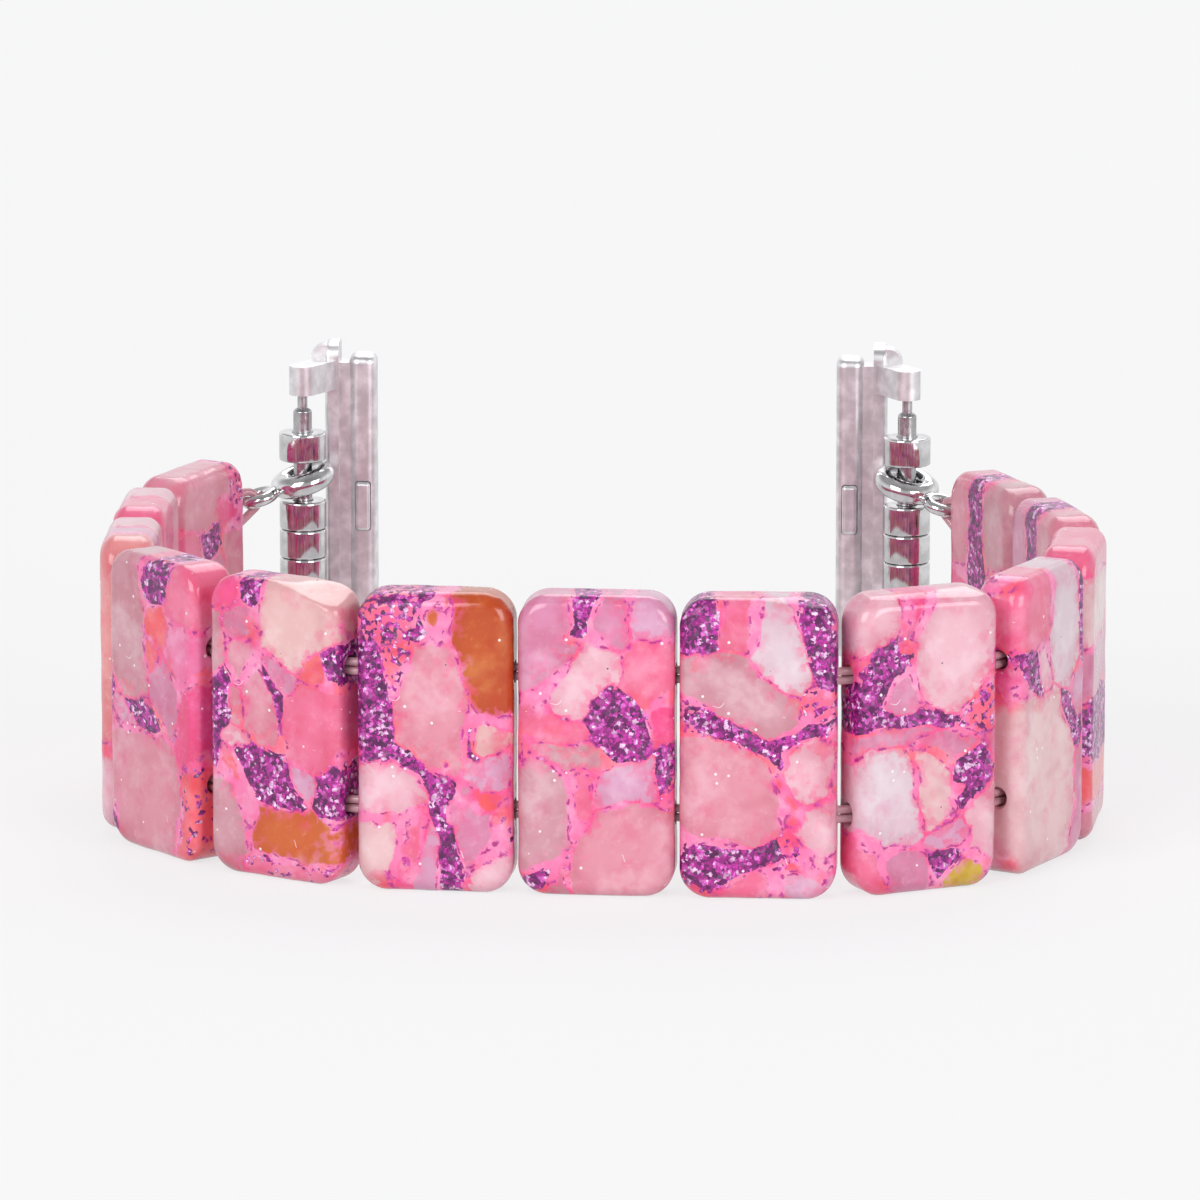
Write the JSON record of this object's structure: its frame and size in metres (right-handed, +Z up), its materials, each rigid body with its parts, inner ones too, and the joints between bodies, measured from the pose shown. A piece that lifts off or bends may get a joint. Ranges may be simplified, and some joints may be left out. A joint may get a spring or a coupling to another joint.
{
  "type": "bead watch band",
  "caption": "Stretch watch band of flat stone-look beads on doubled elastic cords, with ring-and-spacer ends on spring bars in slide-in lug adapters.",
  "frame": {"origin": "the middle of the whole band's box, at the level of the bead ends it stands on", "axes": "+Z up along the beads, +Y from the front bead towards the lug adapters, +X to the right seen from the front"},
  "size_m": [0.0776, 0.0668, 0.0312],
  "materials": {
    "bead_centre": "polished stone-look resin with pink chips and purple glitter veins",
    "bead_left_1": "polished stone-look resin with pink chips and purple glitter veins",
    "bead_right_1": "polished stone-look resin with pink chips and purple glitter veins",
    "bead_left_2": "polished stone-look resin with pink chips and purple glitter veins",
    "bead_right_2": "polished stone-look resin with pink chips and purple glitter veins",
    "bead_left_3": "polished stone-look resin with pink chips and purple glitter veins",
    "bead_right_3": "polished stone-look resin with pink chips and purple glitter veins",
    "bead_left_4": "polished stone-look resin with pink chips and purple glitter veins",
    "bead_right_4": "polished stone-look resin with pink chips and purple glitter veins",
    "bead_left_5": "polished stone-look resin with pink chips and purple glitter veins",
    "bead_right_5": "polished stone-look resin with pink chips and purple glitter veins",
    "bead_left_6": "polished stone-look resin with pink chips and purple glitter veins",
    "bead_right_6": "polished stone-look resin with pink chips and purple glitter veins",
    "elastic": "translucent stretch cord",
    "bail_steel": "polished steel",
    "spacer_steel": "polished steel tube",
    "adapter_steel": "polished steel",
    "bar_steel": "drawn steel"
  },
  "bodies": {
    "bead_centre": {"bead_centre": "bead_centre", "elastic_cord_upper": "elastic", "elastic_cord_lower": "elastic"},
    "bead_left_1": {"bead_left_1": "bead_left_1"},
    "bead_left_2": {"bead_left_2": "bead_left_2"},
    "bead_left_3": {"bead_left_3": "bead_left_3"},
    "bead_left_4": {"bead_left_4": "bead_left_4"},
    "bead_left_5": {"bead_left_5": "bead_left_5"},
    "bead_left_6": {"bead_left_6": "bead_left_6"},
    "bails_left": {"bail_left_upper": "bail_steel", "bail_left_lower": "bail_steel"},
    "adapter_left": {"lug_adapter_left": "adapter_steel", "bar_barrel_left": "bar_steel", "bar_spring_left": "bar_steel", "lock_spring_left": "bar_steel"},
    "spacer_left_1": {"spacer_left_1": "spacer_steel"},
    "spacer_left_2": {"spacer_left_2": "spacer_steel"},
    "spacer_left_3": {"spacer_left_3": "spacer_steel"},
    "spacer_left_4": {"spacer_left_4": "spacer_steel"},
    "bar_plunger_left_upper": {"bar_plunger_left_upper": "bar_steel"},
    "bar_plunger_left_lower": {"bar_plunger_left_lower": "bar_steel"},
    "lock_tab_left": {"lock_tab_left": "adapter_steel"},
    "bead_right_1": {"bead_right_1": "bead_right_1"},
    "bead_right_2": {"bead_right_2": "bead_right_2"},
    "bead_right_3": {"bead_right_3": "bead_right_3"},
    "bead_right_4": {"bead_right_4": "bead_right_4"},
    "bead_right_5": {"bead_right_5": "bead_right_5"},
    "bead_right_6": {"bead_right_6": "bead_right_6", "cord_knot_upper": "elastic", "cord_knot_lower": "elastic"},
    "bails_right": {"bail_right_upper": "bail_steel", "bail_right_lower": "bail_steel"},
    "adapter_right": {"lug_adapter_right": "adapter_steel", "bar_barrel_right": "bar_steel", "bar_spring_right": "bar_steel", "lock_spring_right": "bar_steel"},
    "spacer_right_1": {"spacer_right_1": "spacer_steel"},
    "spacer_right_2": {"spacer_right_2": "spacer_steel"},
    "spacer_right_3": {"spacer_right_3": "spacer_steel"},
    "spacer_right_4": {"spacer_right_4": "spacer_steel"},
    "bar_plunger_right_upper": {"bar_plunger_right_upper": "bar_steel"},
    "bar_plunger_right_lower": {"bar_plunger_right_lower": "bar_steel"},
    "lock_tab_right": {"lock_tab_right": "adapter_steel"}
  },
  "joints": [
    {"name": "bend_left_1", "type": "hinge", "parent": "bead_centre", "child": "bead_left_1", "pos_m": [-0.00645, -0.0285, 0.0115], "axis": [0, 0, -1], "range_deg": [-4, 32], "deforming": ["elastic_cord_upper", "elastic_cord_lower"]},
    {"name": "bend_left_2", "type": "hinge", "parent": "bead_left_1", "child": "bead_left_2", "pos_m": [-0.0184, -0.02695, 0.0115], "axis": [0, 0, 1], "range_deg": [-15, 27], "deforming": ["elastic_cord_upper", "elastic_cord_lower"]},
    {"name": "bend_left_3", "type": "hinge", "parent": "bead_left_2", "child": "bead_left_3", "pos_m": [-0.02857, -0.02049, 0.0115], "axis": [0, 0, -1], "range_deg": [-23, 19], "deforming": ["elastic_cord_upper", "elastic_cord_lower"]},
    {"name": "bend_left_4", "type": "hinge", "parent": "bead_left_3", "child": "bead_left_4", "pos_m": [-0.03576, -0.01082, 0.0115], "axis": [0, 0, 1], "range_deg": [-2, 40], "deforming": ["elastic_cord_upper", "elastic_cord_lower"]},
    {"name": "bend_left_5", "type": "hinge", "parent": "bead_left_4", "child": "bead_left_5", "pos_m": [-0.03547, 0.00123, 0.0115], "axis": [0, 0, -1], "range_deg": [-4, 38], "deforming": ["elastic_cord_upper", "elastic_cord_lower"]},
    {"name": "bend_left_6", "type": "hinge", "parent": "bead_left_5", "child": "bead_left_6", "pos_m": [-0.03475, 0.01326, 0.0115], "axis": [0, 0, 1], "range_deg": [-18, 24], "deforming": ["elastic_cord_upper", "elastic_cord_lower"]},
    {"name": "tie_left", "type": "hinge", "parent": "bead_left_6", "child": "bails_left", "pos_m": [-0.0286, 0.02552, 0.0115], "axis": [0, 0, -1], "range_deg": [-50, 30], "deforming": ["elastic_cord_upper", "elastic_cord_lower"]},
    {"name": "bar_left", "type": "hinge", "parent": "bails_left", "child": "adapter_left", "pos_m": [-0.02436, 0.02712, 0.0179], "axis": [0, 0, -1], "range_deg": [-70, 70]},
    {"name": "spin_spacer_left_1", "type": "hinge", "parent": "adapter_left", "child": "spacer_left_1", "pos_m": [-0.02436, 0.02712, 0.0131], "axis": [0, 0, 1], "continuous": true},
    {"name": "spin_spacer_left_2", "type": "hinge", "parent": "adapter_left", "child": "spacer_left_2", "pos_m": [-0.02436, 0.02712, 0.01544], "axis": [0, 0, 1], "continuous": true},
    {"name": "spin_spacer_left_3", "type": "hinge", "parent": "adapter_left", "child": "spacer_left_3", "pos_m": [-0.02436, 0.02712, 0.01776], "axis": [0, 0, 1], "continuous": true},
    {"name": "spin_spacer_left_4", "type": "hinge", "parent": "adapter_left", "child": "spacer_left_4", "pos_m": [-0.02436, 0.02712, 0.02335], "axis": [0, 0, 1], "continuous": true},
    {"name": "push_left_upper", "type": "slide", "parent": "adapter_left", "child": "bar_plunger_left_upper", "axis": [0, 0, -1], "range_m": [0, 0.0012], "stiffness_N_per_m": 150, "springref_m": -0.002, "deforming": ["bar_spring_left"]},
    {"name": "push_left_lower", "type": "slide", "parent": "adapter_left", "child": "bar_plunger_left_lower", "axis": [0, 0, 1], "range_m": [0, 0.0012], "stiffness_N_per_m": 150, "springref_m": -0.002, "deforming": ["bar_spring_left"]},
    {"name": "press_lock_tab_left", "type": "slide", "parent": "adapter_left", "child": "lock_tab_left", "axis": [0.0436, 0.999, 0], "range_m": [0, 0.00045], "stiffness_N_per_m": 200, "springref_m": -0.001, "deforming": ["lock_spring_left"]},
    {"name": "bend_right_1", "type": "hinge", "parent": "bead_centre", "child": "bead_right_1", "pos_m": [0.00554, -0.02964, 0.0115], "axis": [0, 0, 1], "range_deg": [-4, 38], "deforming": ["elastic_cord_upper", "elastic_cord_lower"]},
    {"name": "bend_right_2", "type": "hinge", "parent": "bead_right_1", "child": "bead_right_2", "pos_m": [0.01757, -0.03035, 0.0115], "axis": [0, 0, -1], "range_deg": [-12, 30], "deforming": ["elastic_cord_upper", "elastic_cord_lower"]},
    {"name": "bend_right_3", "type": "hinge", "parent": "bead_right_2", "child": "bead_right_3", "pos_m": [0.02853, -0.02533, 0.0115], "axis": [0, 0, 1], "range_deg": [-39.5, 2.5], "deforming": ["elastic_cord_upper", "elastic_cord_lower"]},
    {"name": "bend_right_4", "type": "hinge", "parent": "bead_right_3", "child": "bead_right_4", "pos_m": [0.03417, -0.01468, 0.0115], "axis": [0, 0, -1], "range_deg": [-20.5, 21.5], "deforming": ["elastic_cord_upper", "elastic_cord_lower"]},
    {"name": "bend_right_5", "type": "hinge", "parent": "bead_right_4", "child": "bead_right_5", "pos_m": [0.03593, -0.00276, 0.0115], "axis": [0, 0, 1], "range_deg": [-25.5, 16.5], "deforming": ["elastic_cord_upper", "elastic_cord_lower"]},
    {"name": "bend_right_6", "type": "hinge", "parent": "bead_right_5", "child": "bead_right_6", "pos_m": [0.03279, 0.00887, 0.0115], "axis": [0, 0, -1], "range_deg": [-33, 9], "deforming": ["elastic_cord_upper", "elastic_cord_lower"]},
    {"name": "tie_right", "type": "hinge", "parent": "bead_right_6", "child": "bails_right", "pos_m": [0.02767, 0.02196, 0.0115], "axis": [0, 0, 1], "range_deg": [-45, 35], "deforming": ["elastic_cord_upper", "elastic_cord_lower"]},
    {"name": "bar_right", "type": "hinge", "parent": "bails_right", "child": "adapter_right", "pos_m": [0.0243, 0.02499, 0.0179], "axis": [0, 0, 1], "range_deg": [-70, 70]},
    {"name": "spin_spacer_right_1", "type": "hinge", "parent": "adapter_right", "child": "spacer_right_1", "pos_m": [0.0243, 0.02499, 0.0131], "axis": [0, 0, 1], "continuous": true},
    {"name": "spin_spacer_right_2", "type": "hinge", "parent": "adapter_right", "child": "spacer_right_2", "pos_m": [0.0243, 0.02499, 0.01544], "axis": [0, 0, 1], "continuous": true},
    {"name": "spin_spacer_right_3", "type": "hinge", "parent": "adapter_right", "child": "spacer_right_3", "pos_m": [0.0243, 0.02499, 0.01776], "axis": [0, 0, 1], "continuous": true},
    {"name": "spin_spacer_right_4", "type": "hinge", "parent": "adapter_right", "child": "spacer_right_4", "pos_m": [0.0243, 0.02499, 0.02335], "axis": [0, 0, 1], "continuous": true},
    {"name": "push_right_upper", "type": "slide", "parent": "adapter_right", "child": "bar_plunger_right_upper", "axis": [0, 0, -1], "range_m": [0, 0.0012], "stiffness_N_per_m": 150, "springref_m": -0.002, "deforming": ["bar_spring_right"]},
    {"name": "push_right_lower", "type": "slide", "parent": "adapter_right", "child": "bar_plunger_right_lower", "axis": [0, 0, 1], "range_m": [0, 0.0012], "stiffness_N_per_m": 150, "springref_m": -0.002, "deforming": ["bar_spring_right"]},
    {"name": "press_lock_tab_right", "type": "slide", "parent": "adapter_right", "child": "lock_tab_right", "axis": [0.0436, 0.999, 0], "range_m": [0, 0.00045], "stiffness_N_per_m": 200, "springref_m": -0.001, "deforming": ["lock_spring_right"]}
  ]
}
